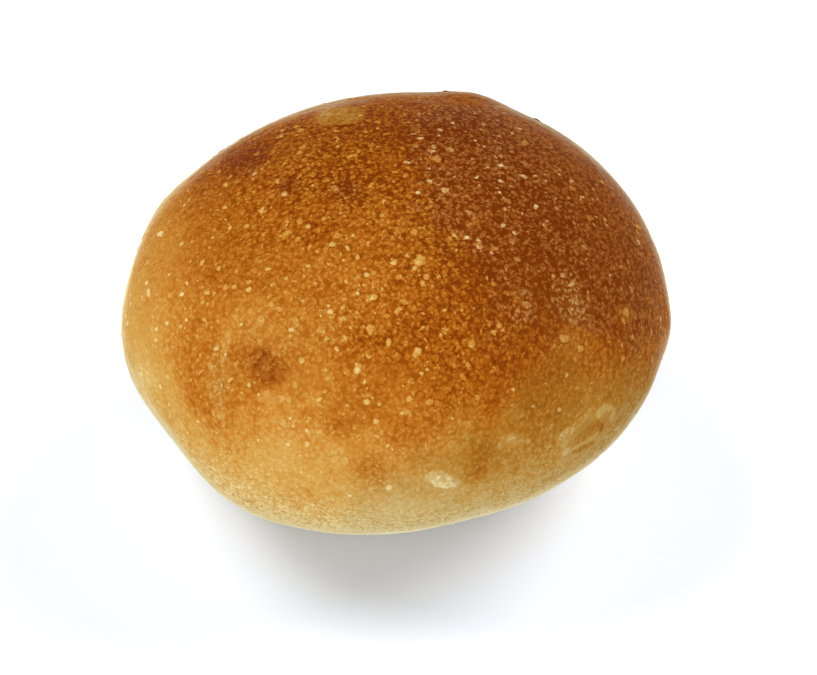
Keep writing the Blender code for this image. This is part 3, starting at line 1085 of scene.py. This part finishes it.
SCAB_AT, SCAB_TURN = (280, 4), -28
SCAB_HALF_LENGTH, SCAB_HALF_WIDTH = 3.0, 1.3  # degrees of the loaf, as seen from inside
SCAB_LUMPS = 36
LUMP_SMALLEST, LUMP_LARGEST = 0.00022, 0.00052
LUMP_RISE, LUMP_STRETCH = 0.55, 1.3  # its height and its length, as shares of its width
LUMP_PALEST, LUMP_DULLEST = 0.34, 0.04

paste = crust_material("dried flour paste", mottling=0.6, paler="paleness")
draw = random.Random(5)
lumps = new_bubbles()
for _ in range(SCAB_LUMPS):
    around, out = draw.uniform(0, 2 * math.pi), math.sqrt(draw.random())
    along = SCAB_HALF_LENGTH * out * math.cos(around)
    across = SCAB_HALF_WIDTH * out * math.sin(around)
    turned_by = math.radians(SCAB_TURN)
    azimuth = SCAB_AT[0] + along * math.cos(turned_by) - across * math.sin(turned_by)
    elevation = SCAB_AT[1] + along * math.sin(turned_by) + across * math.cos(turned_by)
    size = draw.uniform(LUMP_SMALLEST, LUMP_LARGEST)
    rise, turn = size * LUMP_RISE, draw.uniform(0, 180)
    pale = draw.uniform(LUMP_DULLEST, LUMP_PALEST)
    long_way = size * LUMP_STRETCH
    add_bubble(lumps, azimuth, elevation, long_way, size, rise, turn, pale)
flour_scab = mesh_piece("flour_scab", lumps, paste)
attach(flour_scab, "root")

# ---------------------------------------------------------------------------
# The floor and the light: white paper and a white surround, brightest low down. The
# loaf has soft lamps of its own above, at the front left and low on the right. The
# paper has three others, which throw the short grey shadow.

FLOOR_HALF = 3.0
FLOOR_LEVEL = -0.0001
# a little blue, against the golden light that the loaf throws on it
PAPER_COLOUR, PAPER_ROUGHNESS = (0.749, 0.820, 0.985, 1.0), 0.9

floor_mesh = bpy.data.meshes.new("floor")
flat = bmesh.new()
bmesh.ops.create_grid(flat, x_segments=1, y_segments=1, size=FLOOR_HALF)
bmesh.ops.translate(flat, verts=flat.verts, vec=(0, 0, FLOOR_LEVEL))
flat.to_mesh(floor_mesh)
flat.free()
floor = bpy.data.objects.new("floor", floor_mesh)
bpy.context.scene.collection.objects.link(floor)
paper = bpy.data.materials.new("white paper")
paper.use_nodes = True
paper_shader = paper.node_tree.nodes["Principled BSDF"]
paper_shader.inputs["Base Color"].default_value = PAPER_COLOUR
paper_shader.inputs["Roughness"].default_value = PAPER_ROUGHNESS
paper_shader.inputs["Specular IOR Level"].default_value = 0.0
floor_mesh.materials.append(paper)

SURROUND = ((0.0, 0.5), (0.3, 0.4), (0.6, 0.3), (1.0, 0.25))  # sine of height, light

surround = bpy.data.worlds.new("surround")
bpy.context.scene.world = surround
surround.use_nodes = True
tree = surround.node_tree
toward = add(tree, "ShaderNodeTexCoord").outputs["Generated"]
glow = add(tree, "ShaderNodeValToRGB", {"Fac": part(tree, toward, "Z")})
while len(glow.color_ramp.elements) < len(SURROUND):
    glow.color_ramp.elements.new(0.5)
for element, (at, light) in zip(glow.color_ramp.elements, SURROUND):
    element.position = at
    element.color = (light, light, light, 1.0)
tree.links.new(glow.outputs["Color"], tree.nodes["Background"].inputs["Color"])

# direction it comes from (degrees), strength, how wide it is (degrees), and whether
# it lights the floor or the loaf
LAMPS = {
    "top lamp": (85, 84, 2.2, 24, "loaf"),
    "front lamp": (238, 18, 1.9, 40, "loaf"),
    "right lamp": (348, 25, 0.5, 40, "loaf"),
    "floor lamp, right": (35, 30, 4.02, 40, "floor"),
    "floor lamp, left": (145, 40, 3.06, 36, "floor"),
    "floor lamp, front": (275, 35, 1.71, 40, "floor"),
}
FLOOR_STATE = {"loaf": "EXCLUDE", "floor": "INCLUDE"}
LAMP_COLOURS = {"loaf": (1.0, 1.0, 1.0), "floor": (1.0, 0.940, 0.835)}
for name, (azimuth, elevation, strength, width, lit) in LAMPS.items():
    light = bpy.data.lights.new(name, "SUN")
    light.energy = strength
    light.angle = math.radians(width)
    light.color = LAMP_COLOURS[lit]
    lamp = bpy.data.objects.new(name, light)
    lamp.rotation_euler = outward(azimuth, elevation).to_track_quat("Z", "Y").to_euler()
    bpy.context.scene.collection.objects.link(lamp)
    receivers = bpy.data.collections.new(name)
    receivers.objects.link(floor)
    receivers.collection_objects[0].light_linking.link_state = FLOOR_STATE[lit]
    lamp.light_linking.receiver_collection = receivers

# ---------------------------------------------------------------------------
# The camera looks down on the front at 45 degrees.

CAMERA_AIM = Vector((0.0024, -0.0046, 0.0254))
CAMERA_DISTANCE = 0.464
CAMERA_ELEVATION = math.radians(45)
CAMERA_LENS, CAMERA_SENSOR = 100, 36  # millimetres

camera_data = bpy.data.cameras.new("camera")
camera_data.lens = CAMERA_LENS
camera_data.sensor_width = CAMERA_SENSOR
camera = bpy.data.objects.new("camera", camera_data)
back_off = Vector((0, -math.cos(CAMERA_ELEVATION), math.sin(CAMERA_ELEVATION)))
camera.location = CAMERA_AIM + back_off * CAMERA_DISTANCE
camera.rotation_euler = (-back_off).to_track_quat("-Z", "Y").to_euler()
bpy.context.scene.collection.objects.link(camera)
bpy.context.scene.camera = camera
bpy.context.scene.view_settings.view_transform = "Standard"
